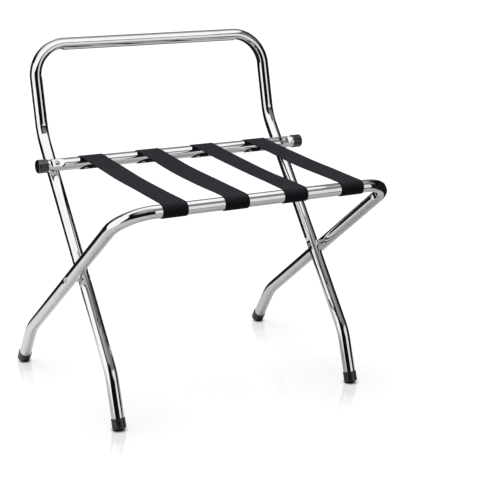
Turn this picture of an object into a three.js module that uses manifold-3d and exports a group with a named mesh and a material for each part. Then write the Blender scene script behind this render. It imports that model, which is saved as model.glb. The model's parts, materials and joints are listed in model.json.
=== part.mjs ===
// Folding luggage rack with a backrest. Two bent tube frames cross like scissors: the backrest frame
// stands on the front feet, and the seat frame reaches round it to the rear feet. A crossbar is bolted
// to the front of the backrest frame, and four webbing straps run from it to the front rail.
//
// Millimetres. +X to the right along the rails, +Y to the back, +Z up. The model is laid out with the
// pivot axis at y = 0 and the floor at z = 0, and is centred on its own box at the end.

import * as THREE from 'three';
import { mergeVertices } from 'three/addons/utils/BufferGeometryUtils.js';
import Module from 'manifold-3d';

const wasm = await Module();
wasm.setup();

// ---------------------------------------------------------------- driving dimensions

const TUBE_RADIUS = 12.5;
const TUBE_WALL = 1.5;
const CLEARANCE = 0.3; // left between pieces that touch
const CORNER_RADIUS = 68; // centre line, at the four top corners
const LEG_BEND_RADIUS = 115; // centre line, at the shallow bends in the legs

const PIVOT_HEIGHT = 264;

// Backrest frame. A lean is measured from vertical, and leans to the back when it is positive.
const BACK_LEG_X = 268;
const BACK_LEG_LEAN = 38.8;
const BACK_LEG_ABOVE = 320.5; // pivot to the bend below the backrest
const BACK_LEG_BELOW = 205; // pivot to the bend above the foot
const BACKREST_LEAN = 14;
const BACKREST_LENGTH = 184;
const FRONT_FOOT_LEAN = 18.9;

// Seat frame
const SEAT_LEG_X = 296;
const SEAT_LEG_LEAN = -53;
const SEAT_LEG_AHEAD = 307; // pivot to the front rail
const SEAT_LEG_BEHIND = 280.5; // pivot to the bend above the foot
const REAR_FOOT_LEAN = -33.5;

// Crossbar, in front of the backrest frame's legs
const CROSSBAR_REACH = 239; // along the leg, from the pivot
const CROSSBAR_HALF = 309; // to the outer face of each end cap
const SADDLE_DEPTH = 1.4; // how far the bar sits into the flattened leg

// End caps, the same on the feet and on the crossbar
const CAP_RADIUS = 14;
const CAP_BORE = TUBE_RADIUS + CLEARANCE;
const CAP_FLOOR = 5;
const CAP_EDGE = 3;
const CAP_LENGTH = 21;
const SOLE_DEPTH = 1.2; // how much the sole is cut flat where it meets the floor

// Straps
const STRAP_WIDTH = 51;
const STRAP_THICKNESS = 1.6;
const STRAP_CENTRES = [-192, -64, 64, 192];
const STRAP_END = 15; // how far below the level the end stops, degrees
const SCREW_TILT = 45; // how far below the level the screws point, degrees
const SCREW_SPACING = 28;

// Pressed flats in the tubes
const FLAT_HALF = 9; // half length of the level part of a pressed flat
const FLAT_REACH = 17; // from its middle to where the tube is round again
const INNER_PIVOT_FLAT = 2.5;
const OUTER_PIVOT_FLAT = 1.2;
const BACK_SPACER_FLAT = 1.5;
const SEAT_SPACER_FLAT = 2.0;
const BOLT_FLAT = 3.5;
const NUT_FLAT = 1.0;

// Fasteners
const RIVET_SHANK = 3;
const BOLT_SHANK = 2.5;
const SCREW_SHANK = 1.8;
const SPACER_RADIUS = 7.5;
const NUT_HEIGHT = 7;
const BOLT_IN_NUT = 4.5; // how far the bolt's tip goes into the nut
const HOLE_EXTRA = 0.35; // added to a shank's radius for its hole
const HOLE_REACH = 2 * TUBE_RADIUS; // from a tube's centre line to an end of a hole through its wall

// How finely the round shapes are divided
const OUTER_SIDES = 20; // of a tube's section
const INNER_SIDES = 10;
const CAP_SIDES = 20;
const FASTENER_SIDES = 14;
const SCREW_SIDES = 10;
const HOLE_SIDES = 8;
const CORNER_STEPS = 8; // along each top corner
const LEG_BEND_STEPS = 4;
const STRAP_ARC_STEPS = 12; // round each rail

const SAME_PLACE = 1; // points closer than this count as one place
const SAME_VERTEX = 1e-4;

// ---------------------------------------------------------------- materials

const chrome = () => new THREE.MeshStandardMaterial({ color: 0xd9dbde, roughness: 0.08, metalness: 1 });
const zinc = () => new THREE.MeshStandardMaterial({ color: 0xb8babd, roughness: 0.3, metalness: 1 });
const blackPlastic = () => new THREE.MeshStandardMaterial({ color: 0x1c1d20, roughness: 0.5, metalness: 0 });
const blackRubber = () => new THREE.MeshStandardMaterial({ color: 0x1a1a1c, roughness: 0.75, metalness: 0 });
const webbing = () => new THREE.MeshStandardMaterial({ color: 0x2f3035, roughness: 0.9, metalness: 0 });

// ---------------------------------------------------------------- side view layout

const DEGREE = Math.PI / 180;
const leaning = (degrees) => new THREE.Vector3(0, Math.sin(degrees * DEGREE), Math.cos(degrees * DEGREE));
const along = (start, direction, distance) => start.clone().addScaledVector(direction, distance);
const atX = (point, x) => new THREE.Vector3(x, point.y, point.z);

const PIVOT = new THREE.Vector3(0, 0, PIVOT_HEIGHT);
const backLeg = leaning(BACK_LEG_LEAN);
const backBend = along(PIVOT, backLeg, BACK_LEG_ABOVE);
const backLowBend = along(PIVOT, backLeg, -BACK_LEG_BELOW);
const topRail = along(backBend, leaning(BACKREST_LEAN), BACKREST_LENGTH);

const seatLeg = leaning(SEAT_LEG_LEAN);
const frontRail = along(PIVOT, seatLeg, SEAT_LEG_AHEAD);
const seatLowBend = along(PIVOT, seatLeg, -SEAT_LEG_BEHIND);

// The crossbar lies on the front of the legs, square to them.
const squareToLeg = new THREE.Vector3(0, -backLeg.z, backLeg.y);
const crossbarOffset = 2 * TUBE_RADIUS - SADDLE_DEPTH + CLEARANCE;
const crossbarOnLeg = along(PIVOT, backLeg, CROSSBAR_REACH);
const crossbar = along(crossbarOnLeg, squareToLeg, crossbarOffset);

// A foot is the leg's last straight. Its cap's rounded edge would reach SOLE_DEPTH below the floor.
function footLayout(bend, lean) {
  const up = leaning(lean);
  const tilt = Math.abs(lean) * DEGREE;
  const endHeight = (CAP_RADIUS - CAP_EDGE) * Math.sin(tilt) + CAP_EDGE * (1 - Math.cos(tilt)) - SOLE_DEPTH;
  const capEnd = along(bend, up, (endHeight - bend.z) / up.z);
  return { up, capEnd, tubeEnd: along(capEnd, up, CAP_FLOOR + CLEARANCE) };
}
const frontFoot = footLayout(backLowBend, FRONT_FOOT_LEAN);
const rearFoot = footLayout(seatLowBend, REAR_FOOT_LEAN);

// ---------------------------------------------------------------- solids

function solidOf(geometry) {
  const bare = geometry.clone();
  bare.deleteAttribute('normal');
  bare.deleteAttribute('uv');
  const merged = mergeVertices(bare, SAME_VERTEX);
  const index = merged.index.array;
  const triangles = [];
  for (let i = 0; i < index.length; i += 3) {
    const [a, b, c] = [index[i], index[i + 1], index[i + 2]];
    if (a !== b && b !== c && c !== a) triangles.push(a, b, c);
  }
  const vertProperties = new Float32Array(merged.attributes.position.array);
  const triVerts = new Uint32Array(triangles);
  return new wasm.Manifold(new wasm.Mesh({ numProp: 3, vertProperties, triVerts }));
}

function geometryOf(solid) {
  const { vertProperties, triVerts } = solid.getMesh();
  const geometry = new THREE.BufferGeometry();
  geometry.setAttribute('position', new THREE.BufferAttribute(vertProperties, 3));
  geometry.setIndex(new THREE.BufferAttribute(triVerts, 1));
  geometry.computeVertexNormals();
  return geometry;
}

function roundBar(start, direction, length, radius, sides = HOLE_SIDES) {
  const bar = new THREE.CylinderGeometry(radius, radius, length, sides);
  bar.translate(0, length / 2, 0);
  bar.applyQuaternion(new THREE.Quaternion().setFromUnitVectors(new THREE.Vector3(0, 1, 0), direction));
  return bar.translate(start.x, start.y, start.z);
}

// Cuts a round hole for each { start, direction, length, radius }.
function drilled(geometry, holes) {
  let solid = solidOf(geometry);
  for (const hole of holes) {
    const drill = solidOf(roundBar(hole.start, hole.direction, hole.length, hole.radius + HOLE_EXTRA));
    solid = solid.subtract(drill);
  }
  return geometryOf(solid);
}

// A turned piece: profile points are [radius, height], and height runs along the direction.
function turned(profile, start, direction, sides = FASTENER_SIDES) {
  const lathe = new THREE.LatheGeometry(profile.map(([r, h]) => new THREE.Vector2(r, h)), sides);
  lathe.applyQuaternion(new THREE.Quaternion().setFromUnitVectors(new THREE.Vector3(0, 1, 0), direction));
  return lathe.translate(start.x, start.y, start.z);
}

// ---------------------------------------------------------------- bent tubes

// A path given by its stations, so that straights need few sections and bends get several.
class StationCurve extends THREE.Curve {
  constructor(stations) {
    super();
    this.stations = stations;
  }

  station(u) {
    return this.stations[Math.round(u * (this.stations.length - 1))];
  }

  getPointAt(u, target = new THREE.Vector3()) {
    return target.copy(this.station(u).position);
  }

  getTangentAt(u, target = new THREE.Vector3()) {
    return target.copy(this.station(u).tangent);
  }
}

// Stations round one corner of a polyline, from one tangent point to the other.
function bendStations(before, corner, after, radius, steps) {
  const inward = corner.clone().sub(before).normalize();
  const outward = after.clone().sub(corner).normalize();
  const turn = inward.angleTo(outward);
  const axis = inward.clone().cross(outward).normalize();
  const start = along(corner, inward, -radius * Math.tan(turn / 2));
  const toCentre = axis.clone().cross(inward);
  const centre = along(start, toCentre, radius);
  const stations = [];
  for (let i = 0; i <= steps; i += 1) {
    const angle = (turn * i) / steps;
    const spoke = toCentre.clone().negate().applyAxisAngle(axis, angle);
    stations.push({
      position: along(centre, spoke, radius),
      tangent: inward.clone().applyAxisAngle(axis, angle),
    });
  }
  return stations;
}

// Stations where a pressed flat starts, levels out, and ends again.
function flatStations(flats, tangent) {
  const offsets = [-FLAT_REACH, -(FLAT_REACH + FLAT_HALF) / 2, -FLAT_HALF];
  return flats.flatMap(({ at }) => [...offsets, ...offsets.map((o) => -o).reverse()]
    .map((offset) => ({ position: along(at, tangent, offset), tangent })));
}

// All stations of a tube: bends of { point, radius, steps } between two ends, and the flats on straights.
function tubeStations(corners, flatPlaces) {
  const last = corners.length - 1;
  const stations = [];
  let from = { position: corners[0].point };
  for (let i = 1; i <= last; i += 1) {
    const { point, radius, steps } = corners[i];
    const tangent = point.clone().sub(corners[i - 1].point).normalize();
    if (i === 1) stations.push({ position: from.position, tangent });
    const bend = i < last ? bendStations(corners[i - 1].point, point, corners[i + 1].point, radius, steps)
      : [{ position: point, tangent }];
    const span = bend[0].position.distanceTo(from.position);
    const onStraight = flatPlaces.filter(({ at }) => {
      const reach = at.clone().sub(from.position).dot(tangent);
      return reach > 0 && reach < span && along(from.position, tangent, reach).distanceTo(at) < SAME_PLACE;
    });
    onStraight.sort((a, b) => a.at.distanceTo(from.position) - b.at.distanceTo(from.position));
    stations.push(...flatStations(onStraight, tangent), ...bend);
    from = bend[bend.length - 1];
  }
  return stations;
}

function ring(radius, sides) {
  return Array.from({ length: sides }, (_, i) => {
    const angle = (2 * Math.PI * i) / sides;
    return new THREE.Vector2(radius * Math.cos(angle), radius * Math.sin(angle));
  });
}

function tubeGeometry(stations) {
  const section = new THREE.Shape(ring(TUBE_RADIUS, OUTER_SIDES));
  section.holes.push(new THREE.Path(ring(TUBE_RADIUS - TUBE_WALL, INNER_SIDES)));
  return new THREE.ExtrudeGeometry(section, {
    steps: stations.length - 1,
    extrudePath: new StationCurve(stations),
  });
}

// Presses the tube wall in towards its centre line, level in the middle and fading out along the tube.
function pressFlat(geometry, { at, side, tangent, depth }) {
  const position = geometry.attributes.position;
  const middleOfWall = TUBE_RADIUS - TUBE_WALL / 2;
  const vertex = new THREE.Vector3();
  for (let i = 0; i < position.count; i += 1) {
    vertex.fromBufferAttribute(position, i);
    const offset = vertex.clone().sub(at);
    const distance = Math.abs(offset.dot(tangent));
    const radius = Math.sqrt(Math.max(offset.lengthSq() - distance * distance, 0));
    if (distance >= FLAT_REACH || radius > TUBE_RADIUS + SAME_PLACE) continue;
    const fade = 1 - THREE.MathUtils.smoothstep(distance, FLAT_HALF, FLAT_REACH);
    const surface = radius > middleOfWall ? TUBE_RADIUS : TUBE_RADIUS - TUBE_WALL;
    const excess = offset.dot(side) - (surface - depth * fade);
    if (excess > 0) vertex.addScaledVector(side, -excess);
    position.setXYZ(i, vertex.x, vertex.y, vertex.z);
  }
}

// A finished tube: swept along its corners, pressed flat where asked, and drilled.
function makeTube(corners, flats, holes) {
  const firstAt = (place) => flats.findIndex(({ at }) => at.distanceTo(place) < SAME_PLACE);
  const places = flats.filter((flat, i) => firstAt(flat.at) === i);
  const geometry = tubeGeometry(tubeStations(corners, places));
  for (const flat of flats) pressFlat(geometry, flat);
  return drilled(geometry, holes);
}

// The corners of an upside-down U: up the left leg, along the rail and down the right leg.
function uCorners(legPoints, railPoint, x) {
  const left = legPoints.map((point, i) => (
    { point: atX(point, -x), radius: i ? LEG_BEND_RADIUS : 0, steps: LEG_BEND_STEPS }));
  const rail = { radius: CORNER_RADIUS, steps: CORNER_STEPS };
  const right = left.map((corner) => ({ ...corner, point: atX(corner.point, x) })).reverse();
  const rails = [{ ...rail, point: atX(railPoint, -x) }, { ...rail, point: atX(railPoint, x) }];
  return [...left, ...rails, ...right];
}

// ---------------------------------------------------------------- frames and crossbar

const SIDES = [{ name: 'left', sign: -1 }, { name: 'right', sign: 1 }];
const strapRadius = TUBE_RADIUS + CLEARANCE + STRAP_THICKNESS;
const rearScrewDirection = leaning(-90 - SCREW_TILT);
const frontScrewDirection = leaning(90 + SCREW_TILT);

function pivotHole(sign, x) {
  const outward = new THREE.Vector3(sign, 0, 0);
  const start = along(atX(PIVOT, sign * x), outward, -HOLE_REACH);
  return { start, direction: outward, length: 2 * HOLE_REACH, radius: RIVET_SHANK };
}

function crossbarBoltHole(sign) {
  const start = along(atX(crossbarOnLeg, sign * BACK_LEG_X), squareToLeg, -HOLE_REACH);
  return { start, direction: squareToLeg, length: crossbarOffset + 2 * HOLE_REACH, radius: BOLT_SHANK };
}

function screwPlaces() {
  return STRAP_CENTRES.flatMap((centre, i) => SIDES.map(({ name, sign }) => (
    { name: `${i + 1}_${name}`, x: centre + (sign * SCREW_SPACING) / 2 })));
}

function screwHoles(tubeCentre, direction) {
  return screwPlaces().map(({ x }) => (
    { start: atX(tubeCentre, x), direction, length: HOLE_REACH, radius: SCREW_SHANK }));
}

function backrestFrame() {
  const corners = uCorners([frontFoot.tubeEnd, backLowBend, backBend], topRail, BACK_LEG_X);
  const flats = SIDES.flatMap(({ sign }) => {
    const outward = new THREE.Vector3(sign, 0, 0);
    const pivot = { at: atX(PIVOT, sign * BACK_LEG_X), tangent: backLeg };
    const saddle = { at: atX(crossbarOnLeg, sign * BACK_LEG_X), tangent: backLeg };
    return [
      { ...pivot, side: outward, depth: BACK_SPACER_FLAT },
      { ...pivot, side: outward.clone().negate(), depth: INNER_PIVOT_FLAT },
      { ...saddle, side: squareToLeg, depth: SADDLE_DEPTH },
      { ...saddle, side: squareToLeg.clone().negate(), depth: NUT_FLAT },
    ];
  });
  const holes = SIDES.flatMap(({ sign }) => [pivotHole(sign, BACK_LEG_X), crossbarBoltHole(sign)]);
  return makeTube(corners, flats, holes);
}

function seatFrame() {
  const corners = uCorners([rearFoot.tubeEnd, seatLowBend], frontRail, SEAT_LEG_X);
  const flats = SIDES.flatMap(({ sign }) => {
    const outward = new THREE.Vector3(sign, 0, 0);
    const pivot = { at: atX(PIVOT, sign * SEAT_LEG_X), tangent: seatLeg };
    return [
      { ...pivot, side: outward, depth: OUTER_PIVOT_FLAT },
      { ...pivot, side: outward.clone().negate(), depth: SEAT_SPACER_FLAT },
    ];
  });
  const pivotHoles = SIDES.map(({ sign }) => pivotHole(sign, SEAT_LEG_X));
  return makeTube(corners, flats, [...pivotHoles, ...screwHoles(frontRail, frontScrewDirection)]);
}

function rearCrossbar() {
  const end = CROSSBAR_HALF - CAP_FLOOR - CLEARANCE;
  const corners = [{ point: atX(crossbar, -end) }, { point: atX(crossbar, end) }];
  const tangent = new THREE.Vector3(1, 0, 0);
  const flats = SIDES.map(({ sign }) => (
    { at: atX(crossbar, sign * BACK_LEG_X), side: squareToLeg, tangent, depth: BOLT_FLAT }));
  const boltHoles = SIDES.map(({ sign }) => crossbarBoltHole(sign));
  return makeTube(corners, flats, [...boltHoles, ...screwHoles(crossbar, rearScrewDirection)]);
}

// ---------------------------------------------------------------- caps

// A push-on cap with a blind bore: closed end at height 0, mouth at CAP_LENGTH.
function capGeometry(capEnd, direction) {
  const corner = [0, 45, 90].map((degrees) => [
    CAP_RADIUS - CAP_EDGE + CAP_EDGE * Math.sin(degrees * DEGREE),
    CAP_EDGE - CAP_EDGE * Math.cos(degrees * DEGREE),
  ]);
  const bore = [[CAP_BORE, CAP_LENGTH], [CAP_BORE, CAP_FLOOR], [0, CAP_FLOOR]];
  return turned([[0, 0], ...corner, [CAP_RADIUS, CAP_LENGTH], ...bore], capEnd, direction, CAP_SIDES);
}

function footCap(foot, x) {
  const cap = solidOf(capGeometry(atX(foot.capEnd, x), foot.up));
  const size = 4 * CAP_LENGTH;
  const aboveFloor = new THREE.BoxGeometry(size, size, size).translate(x, foot.capEnd.y, size / 2);
  return geometryOf(cap.intersect(solidOf(aboveFloor)));
}

function crossbarCap(sign) {
  return capGeometry(atX(crossbar, sign * CROSSBAR_HALF), new THREE.Vector3(-sign, 0, 0));
}

// ---------------------------------------------------------------- straps

// The strap starts under the front of the crossbar, goes behind and over it, runs forward to the front
// rail, and goes over and under that.
function strapGeometry(centre) {
  const inner = TUBE_RADIUS + CLEARANCE;
  const run = frontRail.clone().sub(crossbar);
  const top = Math.atan2(-run.y, run.z);
  const rearEnd = (180 + STRAP_END) * DEGREE;
  const frontEnd = (360 - STRAP_END) * DEGREE;
  const turn = 2 * Math.PI;
  const outline = new THREE.Shape();
  outline.absarc(crossbar.y, crossbar.z, strapRadius, rearEnd, top + turn, false);
  outline.absarc(frontRail.y, frontRail.z, strapRadius, top, frontEnd, false);
  outline.absarc(frontRail.y, frontRail.z, inner, frontEnd, top, true);
  outline.absarc(crossbar.y, crossbar.z, inner, top + turn, rearEnd, true);
  const options = { depth: STRAP_WIDTH, bevelEnabled: false, curveSegments: STRAP_ARC_STEPS / 2 };
  const strap = new THREE.ExtrudeGeometry(outline, options);
  const [x, y, z] = [new THREE.Vector3(1, 0, 0), new THREE.Vector3(0, 1, 0), new THREE.Vector3(0, 0, 1)];
  strap.applyMatrix4(new THREE.Matrix4().makeBasis(y, z, x));
  return strap.translate(centre - STRAP_WIDTH / 2, 0, 0);
}

function strap(centre) {
  const reach = STRAP_WIDTH / 2;
  const inThisStrap = (hole) => Math.abs(hole.start.x - centre) < reach;
  const holes = [...screwHoles(crossbar, rearScrewDirection), ...screwHoles(frontRail, frontScrewDirection)];
  return drilled(strapGeometry(centre), holes.filter(inThisStrap));
}

// ---------------------------------------------------------------- fasteners

// The pivot rivet: a domed head outside the seat leg, and a rolled tail inside the back leg. Each has a sunk
// centre.
function pivotRivet(sign) {
  const outward = new THREE.Vector3(sign, 0, 0);
  const tailFace = BACK_LEG_X - TUBE_RADIUS + INNER_PIVOT_FLAT - CLEARANCE;
  const headFace = SEAT_LEG_X + TUBE_RADIUS - OUTER_PIVOT_FLAT + CLEARANCE;
  const length = headFace - tailFace;
  const tail = { radius: 5, edge: 1.4, crown: 3.8, height: 2.4, cupFloor: 1 };
  const head = { radius: 6, edge: 0.8, crown: 4, crownHeight: 2.2, height: 2.8, cupFloor: 1.2 };
  const cupRadius = 1.8;
  const profile = [
    [0, -tail.cupFloor], [cupRadius, -tail.cupFloor], [cupRadius, -tail.height],
    [tail.crown, -tail.height], [tail.radius, -tail.edge], [tail.radius, 0],
    [RIVET_SHANK, 0], [RIVET_SHANK, length],
    [head.radius, length], [head.radius, length + head.edge], [head.crown, length + head.crownHeight],
    [cupRadius, length + head.height], [cupRadius, length + head.cupFloor], [0, length + head.cupFloor],
  ];
  return turned(profile, atX(PIVOT, sign * tailFace), outward);
}

function pivotSpacer(sign) {
  const outward = new THREE.Vector3(sign, 0, 0);
  const innerFace = BACK_LEG_X + TUBE_RADIUS - BACK_SPACER_FLAT + CLEARANCE;
  const outerFace = SEAT_LEG_X - TUBE_RADIUS + SEAT_SPACER_FLAT - CLEARANCE;
  const bore = RIVET_SHANK + HOLE_EXTRA;
  const length = outerFace - innerFace;
  const profile = [[bore, 0], [SPACER_RADIUS, 0], [SPACER_RADIUS, length], [bore, length], [bore, 0]];
  return turned(profile, atX(PIVOT, sign * innerFace), outward, CAP_SIDES);
}

// Where the crossbar bolt's parts lie along the bolt, measured from the leg's centre line.
const boltNutFace = -(TUBE_RADIUS - NUT_FLAT) - CLEARANCE;
const boltHeadFace = crossbarOffset + TUBE_RADIUS - BOLT_FLAT + CLEARANCE;

// A button-head bolt with a socket.
function crossbarBolt(sign) {
  const tip = boltNutFace - BOLT_IN_NUT;
  const length = boltHeadFace - tip;
  const head = { radius: 5.5, edge: 0.8, crown: 3.9, crownHeight: 2.1, height: 2.6 };
  const socket = { radius: 1.8, floor: 1.2 };
  const chamfer = 0.5;
  const profile = [
    [0, 0], [BOLT_SHANK - chamfer, 0], [BOLT_SHANK, chamfer], [BOLT_SHANK, length],
    [head.radius, length], [head.radius, length + head.edge], [head.crown, length + head.crownHeight],
    [socket.radius, length + head.height], [socket.radius, length + socket.floor], [0, length + socket.floor],
  ];
  const start = along(atX(crossbarOnLeg, sign * BACK_LEG_X), squareToLeg, tip);
  return turned(profile, start, squareToLeg);
}

// A domed nut behind the leg: a hexagon and a dome, with a blind bore that starts before its face.
function crossbarNut(sign) {
  const backward = squareToLeg.clone().negate();
  const face = along(atX(crossbarOnLeg, sign * BACK_LEG_X), squareToLeg, boltNutFace);
  const hexagon = { radius: 5.2, height: 4, sides: 6 };
  const dome = { start: 1, radius: 4.3, edge: 4.6, crown: 3, crownHeight: 6.4 };
  const bore = { before: 1, length: 6, radius: BOLT_SHANK + HOLE_EXTRA };
  const domeProfile = [
    [0, dome.start], [dome.radius, dome.start], [dome.radius, dome.edge],
    [dome.crown, dome.crownHeight], [0, NUT_HEIGHT],
  ];
  const hexagonSolid = solidOf(roundBar(face, backward, hexagon.height, hexagon.radius, hexagon.sides));
  const domeSolid = solidOf(turned(domeProfile, face, backward));
  const boreStart = along(face, backward, -bore.before);
  const boreSolid = solidOf(roundBar(boreStart, backward, bore.length, bore.radius));
  return geometryOf(hexagonSolid.add(domeSolid).subtract(boreSolid));
}

// A pan-head screw through the end of a strap into the tube.
function strapScrew(tubeCentre, direction, x) {
  const shank = { length: 7, point: 1.5 };
  const head = { radius: 4, edge: 0.9, crown: 2.4, height: 2.2 };
  const start = along(atX(tubeCentre, x), direction, strapRadius + CLEARANCE - shank.length);
  const profile = [
    [0, 0], [SCREW_SHANK, shank.point], [SCREW_SHANK, shank.length],
    [head.radius, shank.length], [head.radius, shank.length + head.edge],
    [head.crown, shank.length + head.height], [0, shank.length + head.height],
  ];
  return turned(profile, start, direction, SCREW_SIDES);
}

// ---------------------------------------------------------------- assembly

const rack = new THREE.Group();

function add(name, geometry, material) {
  const mesh = new THREE.Mesh(geometry, material);
  mesh.name = name;
  rack.add(mesh);
}

add('backrest_frame', backrestFrame(), chrome());
add('seat_frame', seatFrame(), chrome());
add('rear_crossbar', rearCrossbar(), chrome());

for (const { name, sign } of SIDES) {
  add(`front_foot_cap_${name}`, footCap(frontFoot, sign * BACK_LEG_X), blackRubber());
  add(`rear_foot_cap_${name}`, footCap(rearFoot, sign * SEAT_LEG_X), blackRubber());
  add(`crossbar_cap_${name}`, crossbarCap(sign), blackPlastic());
  add(`pivot_rivet_${name}`, pivotRivet(sign), zinc());
  add(`pivot_spacer_${name}`, pivotSpacer(sign), zinc());
  add(`crossbar_bolt_${name}`, crossbarBolt(sign), zinc());
  add(`crossbar_nut_${name}`, crossbarNut(sign), zinc());
}

STRAP_CENTRES.forEach((centre, i) => add(`strap_${i + 1}`, strap(centre), webbing()));

for (const { name, x } of screwPlaces()) {
  add(`rear_strap_screw_${name}`, strapScrew(crossbar, rearScrewDirection, x), zinc());
  add(`front_strap_screw_${name}`, strapScrew(frontRail, frontScrewDirection, x), zinc());
}

// The origin is the middle of the box's base.
const box = new THREE.Box3().setFromObject(rack, true);
rack.position.y = -(box.min.y + box.max.y) / 2;

export default rack;
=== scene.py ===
# Folding luggage rack with a backrest: chrome tube, black webbing straps and black end caps, on a pale
# studio floor. Metres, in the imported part's own frame: +X right along the rails, +Y back, +Z up.

import json
from math import atan2, ceil, cos, pi, radians, sin, sqrt, tan

import bmesh
import bpy
import numpy as np
from mathutils import Matrix, Vector


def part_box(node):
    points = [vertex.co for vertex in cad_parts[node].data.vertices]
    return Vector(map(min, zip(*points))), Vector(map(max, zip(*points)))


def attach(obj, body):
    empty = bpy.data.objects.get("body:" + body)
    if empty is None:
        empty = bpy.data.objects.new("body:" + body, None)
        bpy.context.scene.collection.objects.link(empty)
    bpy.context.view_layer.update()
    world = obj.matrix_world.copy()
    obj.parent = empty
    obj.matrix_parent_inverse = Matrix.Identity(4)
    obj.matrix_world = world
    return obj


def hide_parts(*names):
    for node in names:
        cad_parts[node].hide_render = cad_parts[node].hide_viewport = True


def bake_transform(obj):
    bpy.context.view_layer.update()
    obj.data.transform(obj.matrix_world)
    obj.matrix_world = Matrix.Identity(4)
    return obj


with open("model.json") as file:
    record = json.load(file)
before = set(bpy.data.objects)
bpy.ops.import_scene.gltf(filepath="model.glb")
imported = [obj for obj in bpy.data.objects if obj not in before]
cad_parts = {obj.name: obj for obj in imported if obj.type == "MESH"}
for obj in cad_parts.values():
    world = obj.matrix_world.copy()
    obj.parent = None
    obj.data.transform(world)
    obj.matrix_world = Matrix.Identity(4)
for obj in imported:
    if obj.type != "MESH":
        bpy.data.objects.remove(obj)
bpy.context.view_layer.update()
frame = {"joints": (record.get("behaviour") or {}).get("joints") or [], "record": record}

# -------------------- sizes

MM = 0.001
TUBE_RADIUS = 12.5 * MM
TUBE_WALL = 1.5 * MM
CORNER_RADIUS = 68 * MM
LEG_BEND_RADIUS = 115 * MM

# A lean is measured from vertical, and leans to the back when it is positive.
BACK_LEG_LEAN = 38.8
BACK_LEG_BELOW = 205 * MM
BACKREST_LEAN = 14
FRONT_FOOT_LEAN = 18.9
SEAT_LEG_LEAN = -53
SEAT_LEG_BEHIND = 280.5 * MM
REAR_FOOT_LEAN = -33.5

CAP_RADIUS = 14 * MM
CAP_BORE = 12.6 * MM
CAP_FLOOR = 5 * MM
CAP_EDGE = 3 * MM
CAP_LIP = 0.5 * MM
CAP_LENGTH = 21 * MM
CAP_MOUTH_BAND = 3 * MM
CAP_BAND_STEP = 0.25 * MM
CAP_BAND_SLOPE = 0.8 * MM
CAP_CLEARANCE = 0.3 * MM
SOLE_DEPTH = 1.2 * MM

# Pressed flats: level for FLAT_HALF each way, and round again at FLAT_REACH. Their edges are soft over
# FLAT_SOFTNESS, or over FLAT_SOFT_SHARE of their depth where that is less.
FLAT_HALF = 8 * MM
FLAT_REACH = 17 * MM
INNER_PIVOT_FLAT = 2.5 * MM
OUTER_PIVOT_FLAT = 1.2 * MM
BACK_SPACER_FLAT = 1.5 * MM
SEAT_SPACER_FLAT = 2.0 * MM
BOLT_FLAT = 3.5 * MM
SADDLE_FLAT = 1.4 * MM
NUT_FLAT = 1.0 * MM
FLAT_SOFTNESS = 1.2 * MM
FLAT_SOFT_SHARE = 0.8

# What bending does to the tube: the inner side is pressed flat, and the outer side a little.
CORNER_INNER_PRESS = 3.0 * MM
CORNER_OUTER_PRESS = 0.7 * MM
LEG_INNER_PRESS = 0.7 * MM
LEG_OUTER_PRESS = 0.4 * MM
INNER_PRESS_RAMP = 4.5 * MM
OUTER_PRESS_RAMP = 22 * MM

# The straps go round under each rail to STRAP_END degrees below its inner side, and end there in a rounded
# tongue STRAP_TONGUE degrees long. Their screws are SCREW_TILT degrees below the inner side. At the middle
# of its run each strap hangs by its sag, and its right edge by its tilt more.
STRAP_THICKNESS = 1.6 * MM
STRAP_INNER_RADIUS = TUBE_RADIUS + 0.08 * MM
STRAP_END = 15
STRAP_TONGUE = 52
STRAP_SAG = [2.2 * MM, 3.8 * MM, 2.8 * MM, 2.2 * MM]
STRAP_TILT = [0.8 * MM, -1.3 * MM, 0.9 * MM, -0.7 * MM]
STRAPS = range(1, len(STRAP_SAG) + 1)
SCREW_TILT = 45
SCREW_SPACING = 28 * MM

# How finely the meshes are made. A rounded corner takes at most LIP_SHARE of each side that meets there,
# and edges sharper than the SHARP angles, in degrees, stay crisp.
TUBE_SIDES = 56
TURNED_SIDES = 64
HEXAGON = 6
QUARTER_STEPS = 8
STRAIGHT_STEP = 12 * MM
FLAT_STEP = 1.6 * MM
NEAR_FLAT = 1.1 * FLAT_REACH
CLEAR_OF_FLAT = 1.2 * FLAT_REACH
BEND_STEP = 2.4 * MM
LIP_STEPS = 5
LIP_SHARE = 0.45
TUBE_SHARP = 50
TURNED_SHARP = 40
CUT_SHARP = 35
PRISM_SHARP = 20
STRAP_SHARP = 60
TINY = 1e-7

SIDES = [("left", -1), ("right", 1)]
SQUARE = [(-1, -1), (1, -1), (1, 1), (-1, 1)]

# -------------------- places, from the frame

record = frame["record"]
BODY_OF = {node: body for body, nodes in record["behaviour"]["bodies"].items() for node in nodes}


def leaning(degrees):
    """The direction in the side view that leans this far back from vertical."""
    return Vector((0, sin(radians(degrees)), cos(radians(degrees))))


def at_x(point, x):
    return Vector((x, point.y, point.z))


def box_centre(node):
    low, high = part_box(node)
    return (low + high) / 2


def crossing(point_a, direction_a, point_b, direction_b):
    """Where two lines of the side view cross."""
    gap = point_b - point_a
    cross = direction_a.y * direction_b.z - direction_a.z * direction_b.y
    reach = (gap.y * direction_b.z - gap.z * direction_b.y) / cross
    return point_a + direction_a * reach


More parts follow.
